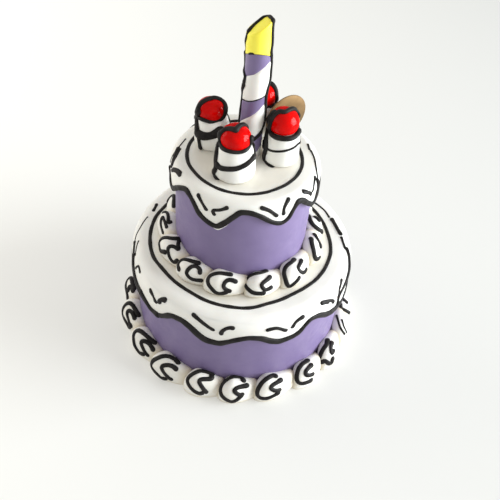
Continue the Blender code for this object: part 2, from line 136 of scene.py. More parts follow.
# Short strokes on each cap: points of (angle, mm down the surface from where the shoulder starts).
LOWER_DASHES = (
    ((-47.2, 12.6), (-44.5, 14.9), (-42.7, 17.5)), ((-39.8, 13.6), (-39.4, 11.1), (-37.4, 9.9)),
    ((-20.2, 8.2), (-15.5, 11.3), (-9.6, 15.6)),
    ((-5.6, 18.4), (-4.9, 14.6), (-2.6, 11.3), (-0.3, 10.9)), ((16.5, 13), (21, 13), (25.8, 17.8)),
    ((29.4, 16.2), (30.9, 12.1), (35, 10.4)), ((48, 8.6), (50.4, 9.9), (51.9, 11.2)),
    ((128, 15), (131, 18), (135, 17)), ((158, 20), (160, 15), (163, 12)),
    ((-172, 12), (-168, 14), (-163, 18)), ((-145, 20), (-147.5, 16), (-150, 13)),
)
UPPER_DASHES = (
    ((-33.6, 5.5), (-29.3, 8.8), (-25.5, 13.1)), ((-19, 14.7), (-19.9, 11.8), (-14.7, 9.6), (-9.9, 6.7)),
    ((15.6, 5.2), (21.4, 7.9), (27, 13.3)), ((37.7, 3.6), (32.6, 7.8), (32.7, 13.4)),
    ((53.2, 4.3), (58.2, 7.7), (60.9, 10.4)), ((-69.7, 7.5), (-65.2, 4.7), (-58.9, 3.7)),
    ((-91, 1), (-80.3, 3.8), (-73.7, 6.9)), ((160, 6), (164, 8), (168, 12)),
    ((-160, 12), (-156, 9), (-150, 7)), ((-128, 5), (-125, 8), (-120, 10)),
)
# Outlines and dashes at the caps' left and right sides, as (half-width in mm, height as a share
# of it, photo pixels).
LOWER_SIDE_STROKES = (
    (0.6, 0.6, ((147.5, 217), (143.5, 222), (139.5, 229), (136, 236), (134.5, 243))),
    (1.1, 0.9, ((134.8, 242), (134.2, 249), (134, 257))),
    (1.6, 0.9, ((134, 255), (134.2, 264), (135, 271), (137, 280), (141, 290))),
    (2.3, 0.8, ((142, 292), (146, 300), (151, 308), (158, 314.5))),
    (0.6, 0.6, ((138.5, 241), (136.5, 247), (135.5, 255))),
    (1.0, 0.6, ((136, 268), (138.5, 266), (140, 272))),
    (1.3, 0.6, ((150.5, 290), (153, 295), (155, 301))),
    (1.7, 0.5, ((159, 302), (161, 299.5), (165, 299.5))),
    (1.2, 0.5, ((156.5, 204.5), (155.5, 207), (153.5, 210.5))),
    (0.8, 0.6, ((315, 203), (320, 206.5), (325, 211), (329, 217))),
    (1.6, 0.7, ((332, 219.5), (335, 224.5), (338, 230), (340.5, 234))),
    (1.1, 0.7, ((341.5, 237.5), (343.2, 243), (345, 248))),
    (1.6, 0.9, ((346.5, 249), (348.5, 255), (349, 262), (348.2, 272), (346.4, 285), (342.5, 297),
        (336.5, 304.5), (330, 311))),
    (1.2, 0.7, ((341.5, 280), (340.5, 285), (339, 290), (338, 296))),
    (1.5, 0.5, ((322, 303), (326, 301.5), (332, 300.5), (333.5, 302))),
)
UPPER_SIDE_STROKES = (
    (0.5, 0.7, ((185.5, 139), (180.5, 145), (176.5, 150), (172.5, 156), (170.5, 162))),
    (1.3, 0.9, ((169.7, 167), (169.7, 175), (170.5, 180), (172, 185), (173.5, 189))),
    (0.8, 0.6, ((180, 149), (176, 157), (172.5, 165))),
    (1.4, 0.5, ((173, 169.5), (177, 170), (180, 173))),
    (0.8, 0.6, ((308, 144.5), (309.5, 149.5))),
    (0.7, 0.8, ((311, 151), (313.5, 156), (315, 161), (316, 167), (317, 174), (317.6, 181))),
    (1.4, 0.9, ((317, 180), (317.4, 184), (317.2, 188), (316.4, 192))),
    (1.1, 0.9, ((316.4, 191), (315.4, 195), (314, 200), (312, 203.5))),
    (0.9, 0.7, ((315, 177), (314, 184), (312.5, 191))),
    (0.9, 0.5, ((303, 190.5), (307, 191), (311, 195))),
)

# The borders: fat shells laid head to tail round the foot of each tier. The front ones have the
# angles given here, and the rest fill the back evenly.
LOWER_FRONT = (-92, -75.5, -55.5, -36, -15.5, 2, 19.5, 40, 58.5, 77, 94)
UPPER_FRONT = (-112, -90, -64, -36, -11.5, 18, 45, 77, 102)
# The strokes on each front shell, in photo pixels: an outer one and an inner one.
LOWER_STROKES = {
    1: (((134, 288.5), (131.5, 278.5), (128, 277.5), (126, 286), (127.5, 294.5), (128, 298.5)),
        ((133, 291), (130, 286), (128.5, 290))),
    2: (((138.5, 315), (133, 305.5), (128.5, 303), (124, 307), (123, 314), (124, 320.5), (126.5, 325),
        (129, 327.5), (131, 325.5)),
        ((134.5, 318), (131.5, 312), (128.5, 310.5), (127, 313), (128, 317.5), (130, 324.5))),
    3: (((154.5, 342.5), (150, 339), (145, 334.5), (140.5, 331), (137, 330.5), (134, 333.5),
        (133.5, 338.5), (134.5, 344.5), (137, 349), (140, 353), (143, 354)),
        ((153, 349.5), (150, 344.5), (146, 341.5), (142, 341), (141, 343), (143, 348), (145, 352),
        (147.5, 355))),
    4: (((178, 362.5), (174.5, 359), (169.5, 356.5), (163.5, 356), (157.5, 358), (153, 361),
        (151.5, 365), (153.5, 369.5), (157.5, 374), (161.5, 377.5), (165, 378.5)),
        ((176, 369), (172.5, 366), (168, 365), (163.5, 365.5), (161.5, 367.5), (163, 371), (166, 375),
        (169, 378), (171, 379))),
    5: (((212, 374), (208, 372.5), (202, 371), (195.5, 372.5), (190.5, 375.5), (187.5, 379.5),
        (188, 383.5), (191, 388), (195, 391.5), (199.5, 393.5), (202, 393)),
        ((211.5, 375.5), (211.5, 378.5), (205.5, 379), (200.5, 379.5), (199, 381.5), (201, 385),
        (203.5, 389), (206, 392))),
    6: (((243.5, 380.5), (241.5, 378), (236, 377), (229, 378.5), (223.5, 383), (220.5, 389.5),
        (221.5, 395), (225.5, 399), (232, 401.5), (238, 399), (241.5, 395)),
        ((247, 385.5), (242.5, 386.5), (237, 388), (234, 390.5), (236, 393), (239.5, 395),
        (242, 394.5))),
    7: (((275.5, 376), (272.5, 375.5), (267.5, 378), (261.5, 383.5), (257.5, 390.5), (257.5, 395),
        (260, 397.5), (265.5, 398.5), (271, 397), (278, 393)),
        ((281, 380), (275, 383.5), (271, 386.5), (271, 388.5), (275, 390.5), (279.5, 390))),
    8: (((307.5, 360.5), (303, 363.5), (298, 370), (296.5, 377), (297.5, 381.5), (301, 383.5),
        (306.5, 382.5), (311, 380)),
        ((311.5, 365), (306.5, 370), (305.5, 374), (308.5, 375.5), (313, 374))),
    9: (((327.5, 340), (326.5, 344.5), (322, 351), (319.5, 358), (318.5, 360.5), (321.5, 362.5),
        (324.5, 360.5), (327, 362), (329.5, 364), (332, 362), (332.5, 358.5)),
        ((332, 342.5), (331, 347), (331.5, 353), (333.5, 351))),
    10: (((336.5, 315.5), (338.5, 322), (340.5, 328), (344.5, 334)),
        ((342, 320), (344, 327), (346.5, 332.5))),
    11: (((340.5, 304.5), (341.5, 309), (345, 310), (350, 313)),
        ((343, 299), (347, 302.5))),
}
UPPER_STROKES = {
    1: (((163, 199.5), (168, 196), (172, 194), (174, 197), (174, 201.5), (174, 206)),),
    2: (((170.5, 222), (168, 222.5), (168.5, 218), (167, 212.5), (163, 211)),
        ((163, 232.5), (161, 226), (161, 220), (162.5, 216.5), (164.5, 221), (166.5, 227))),
    3: (((180, 239), (172, 238.5), (166, 237.5), (161.5, 239), (159.5, 243), (159, 247.5), (160.5, 251),
        (165, 252)),
        ((180, 239), (178, 243.5), (178.5, 249.5), (175, 247), (171, 246), (168, 248), (168.5, 253.5),
        (170.5, 259), (174, 262.5), (177, 260.5))),
    4: (((198.5, 263), (193, 261.5), (188, 260), (183, 259.5), (179, 262.5), (178, 265.5), (179, 269)),
        ((200, 272.5), (199.5, 268.5), (197, 266.5), (193, 266), (189, 268.5), (186.5, 273), (189, 277),
        (193, 279.5), (201, 280.5))),
    5: (((230.5, 274.5), (224, 273.5), (216, 273.5), (210.5, 275.5), (208, 279), (208.5, 284.5),
        (212, 289), (216.5, 293), (222.5, 293.5), (226.5, 292)),
        ((235.5, 281.5), (230, 279.5), (226, 281), (223.5, 285), (224.5, 288.5), (229.5, 291))),
    6: (((266, 271), (260.5, 273), (252, 275), (247, 278), (245.5, 283), (247.5, 288.5), (252.5, 292.5),
        (258, 293.5), (263.5, 293)),
        ((270, 277), (267.5, 279.5), (262.5, 283.5), (261.5, 285.5), (265, 290), (271, 287.5))),
    7: (((294, 259.5), (291, 262.5), (286, 266.5), (284, 272.5), (285.5, 279.5), (287, 284),
        (289.5, 286.5), (294, 283.5), (299, 278)),
        ((301.5, 260.5), (299.5, 264.5), (298, 268), (300.5, 271.5), (304, 272.5), (306, 269.5))),
    8: (((311, 238.5), (312, 243.5), (313.5, 249), (314.5, 256), (316.5, 259.5), (320, 258)),
        ((314.5, 234.5), (318, 240), (320.5, 246.5))),
    9: (((308.5, 216), (311, 222), (315, 226.5), (319, 229.5), (324, 232)),
        ((315, 217), (319, 220.5))),
}
# The shells whose strokes are much thinner, with their share of the others' width.
LOWER_SLIM = {10: 0.5, 11: 0.75}
UPPER_SLIM = {2: 0.8}
# Strokes on a shell at the back, as shares of its half-width seen from outside and above.
BACK_STROKES = (
    ((1.15, 0.80), (0.5, 1.0), (-0.25, 0.85), (-0.72, 0.35), (-0.78, -0.3), (-0.3, -0.75), (0.55, -0.7)),
    ((1.3, 0.30), (0.75, 0.25), (0.35, -0.05), (0.5, -0.35), (1.0, -0.45)),
)
BACK_VIEW_DOWN = math.radians(45)
BACK_VIEW_AWAY = 0.1
# A shell: how far it sinks into the wall, its head's length as a share of its half-width, and the
# share of that head by which its tail stops short of the next shell's place.
SHELL_SUNK = 0.5 * MM
HEAD_LENGTH = 1.4
TAIL_TUCKED = 0.55
HEAD_STEPS = 12
TAIL_STEPS = 20
SECTION_STEPS = 30
# Its section from its outer foot over its top to the wall, as shares of its half-width (from -1 at
# the wall to 1 outside) and of its height.
SECTION = [
    Vector((*corner, 0)) for corner in (
        (0.84, 0.0), (1.0, 0.26), (0.93, 0.55), (0.66, 0.82), (0.18, 0.98), (-0.45, 1.0), (-1.0, 0.90),
    )
]

# The cream dollops: a turned stub's profile (radius, height in mm).
STUB = (
    (11.6, 0.0), (12.6, 1.0), (13.2, 3.0), (13.2, 6.5), (13.0, 10.0), (12.6, 14.0), (12.0, 18.0),
    (11.2, 22.0), (10.4, 23.8), (9.0, 24.5),
)
# Each topping's place, its dollop's width and height as shares of the stub's, and its cherry's
# radius, height and shift to the right in mm.
TOPPINGS = {
    "front": (Vector((-0.0094, -0.0201, 0)), 1.07, 1.0, (10.2, 14.2, -0.5)),
    "left": (Vector((-0.0281, 0.0113, 0)), 0.96, 0.94, (10.0, 12.8, -1.4)),
    "right": (Vector((0.0214, 0.0008, 0)), 0.95, 1.02, (10.4, 15.6, -0.5)),
    "back": (Vector((0.0050, 0.0325, 0)), 0.96, 1.0, (10.2, 14.2, 0.0)),
}
# Where a cherry is widest, above its foot.
CHERRY_WIDEST = 5.2 * MM
# The strokes on each dollop and its cherry, as (half-width in mm, photo pixels).
TOPPING_STROKES = {
    "front": (
        (1.8, ((236, 130.3), (231, 129), (226.5, 129), (222.5, 131.5), (220.5, 135.5), (220.4, 141),
            (223, 148), (230, 151.6), (238, 152.5), (245, 150.5), (249, 145.5), (250.6, 138),
            (250.3, 131), (247, 126.3), (242.5, 124.8), (238.5, 126.8), (236, 130.3))),
        (2.0, ((221.2, 133), (219.4, 143), (217.4, 152), (216.2, 160), (216.2, 168), (214.4, 173),
            (216.5, 178))),
        (1.9, ((217.5, 164.5), (221, 168), (229, 169), (236, 168.5), (243, 166), (249, 162),
            (253, 157))),
        (1.2, ((251.5, 141), (253.4, 147), (254.3, 153), (253, 157.5))),
    ),
    "left": (
        (2.1, ((224.8, 109), (224.3, 104.5), (221, 100.4), (216, 98.4), (210.5, 98.8), (204.5, 101),
            (200.2, 104.5), (198, 110), (197.2, 117))),
        (2.4, ((198.6, 111), (197.6, 118), (197.3, 125), (198, 133))),
        (1.5, ((197.6, 131), (198.8, 138), (200.8, 147.5))),
        (2.0, ((198, 116), (202, 118.6), (207, 120.4), (213, 121.4), (219, 120), (223, 116.5),
            (224.8, 109))),
        (3.2, ((198, 133.5), (203.5, 135.6), (209, 136), (214.5, 134.4), (219.5, 131.2))),
        (1.0, ((226.2, 108), (227.6, 114), (229.8, 119), (231.5, 121.8))),
    ),
    "right": (
        (1.8, ((298.6, 130.5), (296.5, 135.3), (292, 138.2), (286, 138.8), (279, 138), (273.5, 136),
            (270.3, 131.5), (270.3, 125), (272.4, 118.6), (276, 114), (280, 111.6), (284.5, 112.4),
            (288, 110.8), (292, 109), (296, 110.4), (298.6, 115))),
        (1.9, ((274.5, 112.6), (270, 117.5), (268, 125), (267.4, 134), (267, 142), (266.4, 149),
            (264.6, 155), (264.5, 160.5), (267, 165), (271, 167.5))),
        (0.9, ((266.5, 148.2), (271, 150.6), (277, 151.5), (284, 151), (290, 149.3), (295, 146.8),
            (298, 143.8), (300, 141))),
        (1.4, ((258.2, 140), (261, 144.5), (265.5, 148))),
        (1.4, ((264.5, 119), (263.4, 126), (263.4, 134), (264.4, 141))),
    ),
    "back": (
        (1.8, ((270.8, 84), (273.8, 86.8), (275.8, 91), (276.2, 97), (275.4, 102), (271.5, 105),
            (267, 106.5))),
    ),
}
# The lines behind a topping, which the photo doesn't show.
BEHIND_HALF = 1.4 * MM
BEHIND_RADIUS = 13 * MM

# The candle: its place and radius, its bow, the lowest and highest points of its slanted end, and
# the joint under its yellow tip, which the body and the tip each stop just short of.
CANDLE_PLACE = Vector((-0.0013, 0.0030, 0))
CANDLE_RADIUS = 8.3 * MM
CANDLE_BOW = 1.6 * MM
CANDLE_LOW = 0.2630
CANDLE_HIGH = 0.2730
CANDLE_JOINT = 0.2475
JOINT_SLOPE = 0.62
BODY_SHORT = 0.2 * MM
TIP_SHORT = 0.1 * MM
CANDLE_SIDES = 96
CANDLE_RINGS = 170
TIP_ROUND = 1.2 * MM
# Its outlines, as (half-width in mm, photo pixels).
CANDLE_STROKES = (
    (0.9, ((249.2, 31.5), (246.7, 37), (245.3, 45), (244.7, 52))),
    (1.3, ((244.7, 52), (244.7, 58), (244.9, 66), (245.4, 75), (244.6, 82))),
    (1.5, ((244.4, 84), (241.8, 93.3), (240.9, 102), (238.5, 113.9), (236.8, 121))),
    (1.2, ((272.4, 20.6), (272.3, 32), (272, 43.4), (271, 52), (271, 60), (270.6, 70), (269.6, 80.3),
        (267.4, 88.9), (265.8, 97.6), (265.4, 108.5), (264.4, 119.3), (261.4, 130.2), (257.5, 136.5),
        (252.5, 140))),
    (1.3, ((248.9, 31.2), (252, 27.6), (256, 23.6), (260.5, 20), (265, 17), (269, 16.4), (271.6, 18.3),
        (273, 21.5))),
    (0.7, ((245, 53.8), (250, 53.4), (255, 54.2), (262, 55.2), (270.6, 55.6))),
    (0.5, ((243.4, 99.4), (248.9, 101.4), (257.6, 99.8), (265.2, 95.4), (267.6, 92.6))),
)
# The two edges of the purple strip that winds up it, as (angle, height in mm) over three turns.
STRIP_TOP = (
    (-180, 168), (-80, 180), (5, 188.2), (48, 192.3), (90, 196.6), (280, 214.5), (299, 215.9),
    (335, 217.5), (374, 219.7), (413, 221.5), (450, 223.5), (600, 250), (640, 258), (900, 300),
)
STRIP_FOOT = (
    (-180, 100), (-80, 162), (40, 175), (90, 180), (180, 184), (272, 195.7), (331, 203.9), (370, 208.7),
    (400, 213), (428, 216.1), (450, 217.5), (640, 231.5), (664, 234.4), (706, 237.9), (737, 241.5),
    (768, 244.3), (788, 245.3), (810, 247), (900, 256),
)
# The gold disc: how far it is turned, half its thickness and its softened edge.
DISC_TURN = 37
DISC_HALF = 0.5 * MM
DISC_EDGE = 0.25 * MM

# Piped lines: how finely they are made, how far their feet sink in, and how uneven their width,
# height and route are, as (share, length of a wave). An open line's ends swell by a share.
BEAD_SIDES = 12
BEAD_STEP = 0.6 * MM
BEAD_SUNK = 0.35 * MM
WIDTH_WAVER = (0.12, 7 * MM)
RISE_WAVER = (0.08, 5 * MM)
DRIFT_WAVER = (0.16, 11 * MM)
END_SWELL = 0.16
SMOOTHED_OVER = 4
# Each line's height as a share of its half-width, and the widest half-width of a round one.
RIM_FLAT = 0.6
CIRCLE_FLAT = 0.5
DASH_FLAT = 0.55
SHELL_FLAT = 0.6
BEHIND_FLAT = 0.8
ROUND_HALF = 1.9
# An outer stroke on a shell is wider than its inner one by this factor.
OUTER_WIDER = 1.12
# Where the lines' unevenness starts, so that no two kinds are alike.
SEEDS = {"circle": 3, "dash": 7, "side": 91, "topping": 31, "behind": 51, "candle": 71}

WHITE_TINTS = ((0.83, 0.82, 0.78), (0.79, 0.785, 0.735))
# The beige-grey of painted shade: in the shells' creases, at their feet and ends, and on the flat tops
# inside the drawn circles.
PAINTED_SHADE_TINT = (0.66, 0.59, 0.46)
PURPLE_TINTS = ((0.170, 0.130, 0.262), (0.191, 0.148, 0.289))
YELLOW_TINTS = ((0.98, 0.90, 0.088), (0.96, 0.84, 0.07))
BLACK_TINTS = ((0.010, 0.009, 0.009), (0.022, 0.020, 0.019))
RED_TINTS = ((0.48, 0.001, 0.001), (0.65, 0.002, 0.001))
GOLD_TINTS = ((0.175, 0.108, 0.046), (0.20, 0.125, 0.055))

scatter = random.Random(11)


def clamp(value, low=0.0, high=1.0):
    return min(max(value, low), high)


def upright(z):
    return Vector((0, 0, z))


def spot(radius, angle, z=0.0):
    """The point at an angle in degrees from the front, round an upright axis at the origin."""
    turn = math.radians(angle)
    return Vector((radius * math.sin(turn), -radius * math.cos(turn), z))


def around(count, first=0):
    """The angles of a full turn in equal steps."""
    return [360 * step / count + first for step in range(count)]


def turn_about(point, angle):
    """A point turned about the upright axis, from the front towards +X."""
    turn = math.radians(angle)
    across, along = math.cos(turn), math.sin(turn)
    return Vector((point.x * across - point.y * along, point.x * along + point.y * across, point.z))


def outward(point):
    return Vector((point.x, point.y, 0)).normalized()


def waver(place, spacing, seed=0.0):
    """Smooth noise from -1 to 1 whose bumps are about one spacing apart."""
    return noise.noise(Vector(place) / spacing + Vector((seed, 2 * seed, 3 * seed)))


def between(table, place):
    """Straight interpolation in a table of (place, value)."""
    if place <= table[0][0]:
        return table[0][1]
    for (start, low), (end, high) in zip(table, table[1:]):
        if place <= end:
            return low + (high - low) * (place - start) / (end - start)
    return table[-1][1]


def round_curve(table, angle):
    """A smooth closed curve through (angle, value) that turns only at the points listed."""
    count = len(table)
    angle = (angle + 180) % 360 - 180
    here = max(step for step in range(count) if table[step][0] <= angle)

    def knot(step):
        turn, value = table[step % count]
        return turn + 360 * (step // count), value

    def rise(step):
        (start, low), (end, high) = knot(step), knot(step + 1)
        return (high - low) / (end - start)

    def slope(step):
        one, two = rise(step - 1), rise(step)
        return 2 * one * two / (one + two) if one * two > 0 else 0.0

    (start, low), (end, high) = knot(here), knot(here + 1)
    span = end - start
    share = (angle - start) / span
    ease = share * share * (3 - 2 * share)
    bend_in = share * (1 - share) ** 2
    bend_out = share * share * (share - 1)
    return low + (high - low) * ease + span * (slope(here) * bend_in + slope(here + 1) * bend_out)


def bend(before, start, end, after, share):
    """The point at a share of the way from start to end, on a smooth curve through all four."""
    return (2 * start + (end - before) * share
            + (2 * before - 5 * start + 4 * end - after) * share * share
            + (3 * start - before - 3 * end + after) * share**3) / 2


def item_at(items, index, closed):
    """An item by an index that runs on round a closed list and stops at an open one's ends."""
    return items[index % len(items) if closed else clamp(index, 0, len(items) - 1)]


def spline(values, step, closed=False):
    """Points about one step apart on a smooth curve through vectors."""
    found = []
    for here in range(len(values) if closed else len(values) - 1):
        corners = [item_at(values, here + offset, closed) for offset in (-1, 0, 1, 2)]
        parts = max(1, round((corners[2] - corners[1]).length / step))
        found += [bend(*corners, part / parts) for part in range(parts)]
    return found if closed else found + [values[-1].copy()]


# Materials

def set_inputs(tree, node, inputs):
    """Gives a node's inputs their values, which are numbers, colours or other nodes' outputs."""
    for name, value in inputs.items():
        socket = node.inputs[name]
        if isinstance(value, bpy.types.NodeSocket):
            tree.links.new(value, socket)
        else:
            socket.default_value = (*value, 1.0) if socket.type == "RGBA" else value


def new_node(tree, kind, inputs=None):
    node = tree.nodes.new("ShaderNode" + kind)
    set_inputs(tree, node, inputs or {})
    return node


def new_material(name, roughness, metallic=0.0, specular=0.5, coat=0.0, subsurface=0.0):
    """A material whose shader has these constant values, with its node tree."""
    material = bpy.data.materials.new(name)
    material.use_nodes = True
    tree = material.node_tree
    shader = tree.nodes["Principled BSDF"]
    set_inputs(tree, shader, {
        "Roughness": roughness, "Metallic": metallic, "Specular IOR Level": specular,
        "Coat Weight": coat, "Coat Roughness": 0.12, "Subsurface Weight": subsurface,
        "Subsurface Radius": (1.0, 0.8, 0.6), "Subsurface Scale": 3 * MM,
    })
    return material, tree, shader


def object_place(tree):
    return new_node(tree, "TexCoord").outputs["Object"]


def noise_node(tree, scale):
    inputs = {"Vector": object_place(tree), "Scale": scale, "Detail": 3.0}
    return new_node(tree, "TexNoise", inputs).outputs["Fac"]


def attribute(tree, name):
    node = new_node(tree, "Attribute")
    node.attribute_name = name
    return node.outputs["Fac"]


def blend_colours(tree, share, first, second):
    mix = new_node(tree, "Mix")
    mix.data_type = "RGBA"
    set_inputs(tree, mix, {"Factor": share, 6: first, 7: second})
    return mix.outputs[2]


def remap(tree, value, low, high, to_low=0.0, to_high=1.0):
    inputs = {"Value": value, "From Min": low, "From Max": high, "To Min": to_low, "To Max": to_high}
    return new_node(tree, "MapRange", inputs).outputs["Result"]


def patches(tree, scale, tints):
    """Soft patches of two tints."""
    return blend_colours(tree, remap(tree, noise_node(tree, scale), 0.35, 0.65), *tints)


def bumpy(tree, shader, *layers):
    """Stacked bumps, each of (noise scale, distance in metres, strength)."""
    inputs = {}
    for scale, distance, strength in layers:
        inputs |= {"Distance": distance, "Strength": strength, "Height": noise_node(tree, scale)}
        inputs["Normal"] = new_node(tree, "Bump", inputs).outputs["Normal"]
    set_inputs(tree, shader, {"Normal": inputs["Normal"]})


def varied(tree, shader, colour, roughness, scale=210):
    """Links a colour, and roughness that wanders between two values."""
    spread = remap(tree, noise_node(tree, scale), 0.3, 0.7, *roughness)
    set_inputs(tree, shader, {"Base Color": colour, "Roughness": spread})


def fondant(name, tints, subsurface=0.12, crease=None):
    """Rolled fondant: faint patches of tint, a soft unevenness and a fine powdery grain. Where a tint is
    given for it, painted shade is blended in by a per-point attribute.
    """
    material, tree, shader = new_material(name, 0.45, specular=0.4, subsurface=subsurface)
    colour = patches(tree, 45, tints)
    # Painted shade, blended in as far as the per-point attribute says.
    if crease:
        colour = blend_colours(tree, attribute(tree, "crease"), colour, crease)
    varied(tree, shader, colour, (0.40, 0.55))
    bumpy(tree, shader, (90, 0.5 * MM, 0.25), (1400, 0.05 * MM, 0.35))
    return material


def black_icing():
    material, tree, shader = new_material("black_icing", 0.50, specular=0.12)
    varied(tree, shader, patches(tree, 160, BLACK_TINTS), (0.42, 0.56))
    bumpy(tree, shader, (420, 0.25 * MM, 0.5), (1800, 0.05 * MM, 0.4))
    return material


def cherry_red():
    material, tree, shader = new_material("cherry_red", 0.35, specular=0.0, coat=0.22)
    set_inputs(tree, shader, {"Base Color": patches(tree, 150, RED_TINTS)})
    bumpy(tree, shader, (260, 0.2 * MM, 0.25))
    return material


def candle_skin():
    """Purple and white by the strip attribute: metres inside the purple strip, from its edge."""
    material, tree, shader = new_material("candle_strip", 0.45, specular=0.4, subsurface=0.12)
    inside = remap(tree, attribute(tree, "strip"), -0.15 * MM, 0.15 * MM)
    bands = patches(tree, 45, WHITE_TINTS), patches(tree, 60, PURPLE_TINTS)
    varied(tree, shader, blend_colours(tree, inside, *bands), (0.38, 0.52))
    bumpy(tree, shader, (120, 0.4 * MM, 0.25), (1400, 0.05 * MM, 0.35))
    return material


def gold_card():
    material, tree, shader = new_material("gold_card", 0.60, metallic=0.75, specular=0.4)
    set_inputs(tree, shader, {"Base Color": patches(tree, 220, GOLD_TINTS)})
    bumpy(tree, shader, (900, 0.05 * MM, 0.4))
    return material


MATERIALS = {
    "white": fondant("white_fondant", WHITE_TINTS, crease=PAINTED_SHADE_TINT),
    "purple": fondant("purple_fondant", PURPLE_TINTS, subsurface=0.06),
    "yellow": fondant("yellow_fondant", YELLOW_TINTS, subsurface=0.08),
    "black": black_icing(),
    "red": cherry_red(),
    "candle": candle_skin(),
    "gold": gold_card(),
}


# Meshes

def add_object(name, data):
    thing = bpy.data.objects.new(name, data)
    bpy.context.scene.collection.objects.link(thing)
    return thing


def new_piece(name, points, faces, material, slot, nodes):
    """A smooth-shaded piece that rides with the cake and stands for CAD nodes."""
    mesh = bpy.data.meshes.new(name)
    mesh.from_pydata([tuple(point) for point in points], [], faces)
    mesh.validate()
    mesh.materials.append(MATERIALS[material])
    mesh.shade_smooth()
    piece = add_object(name, mesh)
    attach(piece, "root")
    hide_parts(*nodes)
    return piece


def add_rows(points, faces, rows, loop=False):
    """Adds a skin through rows of equally many points. Open ends close in a fan."""
    first = len(points)
    width = len(rows[0])
    count = len(rows)
    for row in rows:
        points.extend(row)
    for step in range(count if loop else count - 1):
        here = first + step * width
        beyond = first + (step + 1) % count * width
        for column in range(width):
            ahead = (column + 1) % width
            faces.append((here + column, here + ahead, beyond + ahead, beyond + column))
    if loop:
        return
    for row, start, way in ((rows[0], first, -1), (rows[-1], first + (count - 1) * width, 1)):
        middle = len(points)
        points.append(sum(row, Vector()) / width)
        for column in range(width):
            edge = (start + column, start + (column + 1) % width)
            faces.append((middle, *edge[::way]))


def skin(name, rows, material, slot, node):
    points, faces = [], []
    add_rows(points, faces, rows)
    return new_piece(name, points, faces, material, slot, [node])


def set_depths(piece, name, depths):
    """Keeps a value for each point of a piece, for its material."""
    values = piece.data.attributes.new(name, "FLOAT", "POINT")
    for index, depth in enumerate(depths):
        values.data[index].value = depth


def surface_of(*carriers):
    """One searchable surface of several pieces."""
    points, faces = [], []
    for piece in carriers:
        first = len(points)
        points += [vertex.co for vertex in piece.data.vertices]
        faces += [[first + index for index in face.vertices] for face in piece.data.polygons]
    return BVHTree.FromPolygons(points, faces)


# Piped lines

def pixel_ray(pixel):
    across, down = ((place - PHOTO_SIZE / 2) / FOCAL_PIXELS for place in pixel)
    return (FORWARD + across * VIEW_RIGHT - down * VIEW_UP).normalized()


def meet(surface, start, way, far=0.5, tries=12):
    """Where a ray meets a surface, or the surface's nearest point where it just misses."""
    point = surface.ray_cast(start, way)[0]
    if point:
        return point
    guess = start + way * far
    for _ in range(tries):
        point = surface.find_nearest(guess)[0]
        guess = start + way * (point - start).dot(way)
    return point


def drawn(pixels, surface):
    return [meet(surface, CAMERA_PLACE, pixel_ray(pixel)) for pixel in pixels]


def laid(route, surface, closed):
    """A smooth path through points, laid on the nearest surface, as (point, normal) pairs."""
    path = [surface.find_nearest(point)[:2] for point in spline(route, BEAD_STEP, closed)]
    smoothed = []
    for step, (place, _) in enumerate(path):
        nearby = range(step - SMOOTHED_OVER, step + SMOOTHED_OVER + 1)
        points, normals = zip(*(item_at(path, index, closed) for index in nearby))
        inside = closed or SMOOTHED_OVER <= step < len(path) - SMOOTHED_OVER
        middle = sum(points, Vector()) / len(points)
        place = place.lerp(middle, 0.5) if inside else place
        smoothed.append((place, sum(normals, Vector()).normalized()))
    return smoothed


def bead_ring(row, scale=1.0, along=0.0):
    """One ring of a line round a row's point, shrunk and moved along to round off an end."""
    middle, side, up, ahead, width, rise = row
    middle = middle + ahead * (along * width)
    ring = []
    for corner in range(BEAD_SIDES):
        turn = 2 * math.pi * corner / BEAD_SIDES
        lift = math.sin(turn)
        high = lift * (rise if lift > 0 else BEAD_SUNK) * scale
        ring.append(middle + side * (math.cos(turn) * width * scale) + up * high)
    return ring


def uneven(gone, waves, seed):
    """How much a line differs from an even one at a distance from its start."""
    share, length = waves
    return share * waver((gone, 0, 0), length, seed)


def bead(lines, surface, route, half, flat, seed=0, closed=False, thick=None):
    """Adds a slightly uneven line of icing along a route on a surface.

    half is its half-width, flat its height as a share of that, and thick a function that gives
    the share of the half-width at a point.
    """
    path = laid(route, surface, closed)
    lengths = [0.0]
    for (here, _), (there, _) in zip(path, path[1:]):
        lengths.append(lengths[-1] + (there - here).length)
    rows = []
    for step, (point, normal) in enumerate(path):
        before, after = (item_at(path, step + offset, closed)[0] for offset in (-1, 1))
        ahead = (after - before).normalized()
        side = normal.cross(ahead).normalized()
        gone = lengths[step]
        width = half * (1 + uneven(gone, WIDTH_WAVER, seed))
        if thick:
            width *= thick(point)
        if not closed:
            near_end = min(gone, lengths[-1] - gone) / (1.6 * half)
            width *= 1 + END_SWELL * math.exp(-near_end * near_end)
        rise = flat * width * (1 + uneven(gone, RISE_WAVER, seed + 5))
        drift = half * uneven(gone, DRIFT_WAVER, seed + 9)
        rows.append((point + side * drift, side, normal, ahead, width, rise))
    rings = [bead_ring(row) for row in rows]
    if not closed:
        for lean in map(math.radians, (20, 40, 60, 80)):
            rings.insert(0, bead_ring(rows[0], math.cos(lean), -math.sin(lean)))
            rings.append(bead_ring(rows[-1], math.cos(lean), math.sin(lean)))
    add_rows(*lines, rings, loop=closed)


def draw_strokes(lines, surface, strokes, seed):
    """Adds strokes of (half-width in mm, photo pixels), the widest ones flattened."""
    for number, (half, pixels) in enumerate(strokes, seed):
        flat = min(1.0, ROUND_HALF / half)
        bead(lines, surface, drawn(pixels, surface), half * MM, flat, number)


# The tiers

def tier_of(name, **values):
    """A tier's sizes, read off its solid, with the values given for it."""
    low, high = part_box(name + "_tier")
    core = (high.x - low.x) / 2
    return SimpleNamespace(
        name=name, centre=Vector(((low.x + high.x) / 2, 0, 0)), base=low.z, core=core,
        cap=core + CAP_WALL, top=high.z + CAP_ROOF, **values,
    )


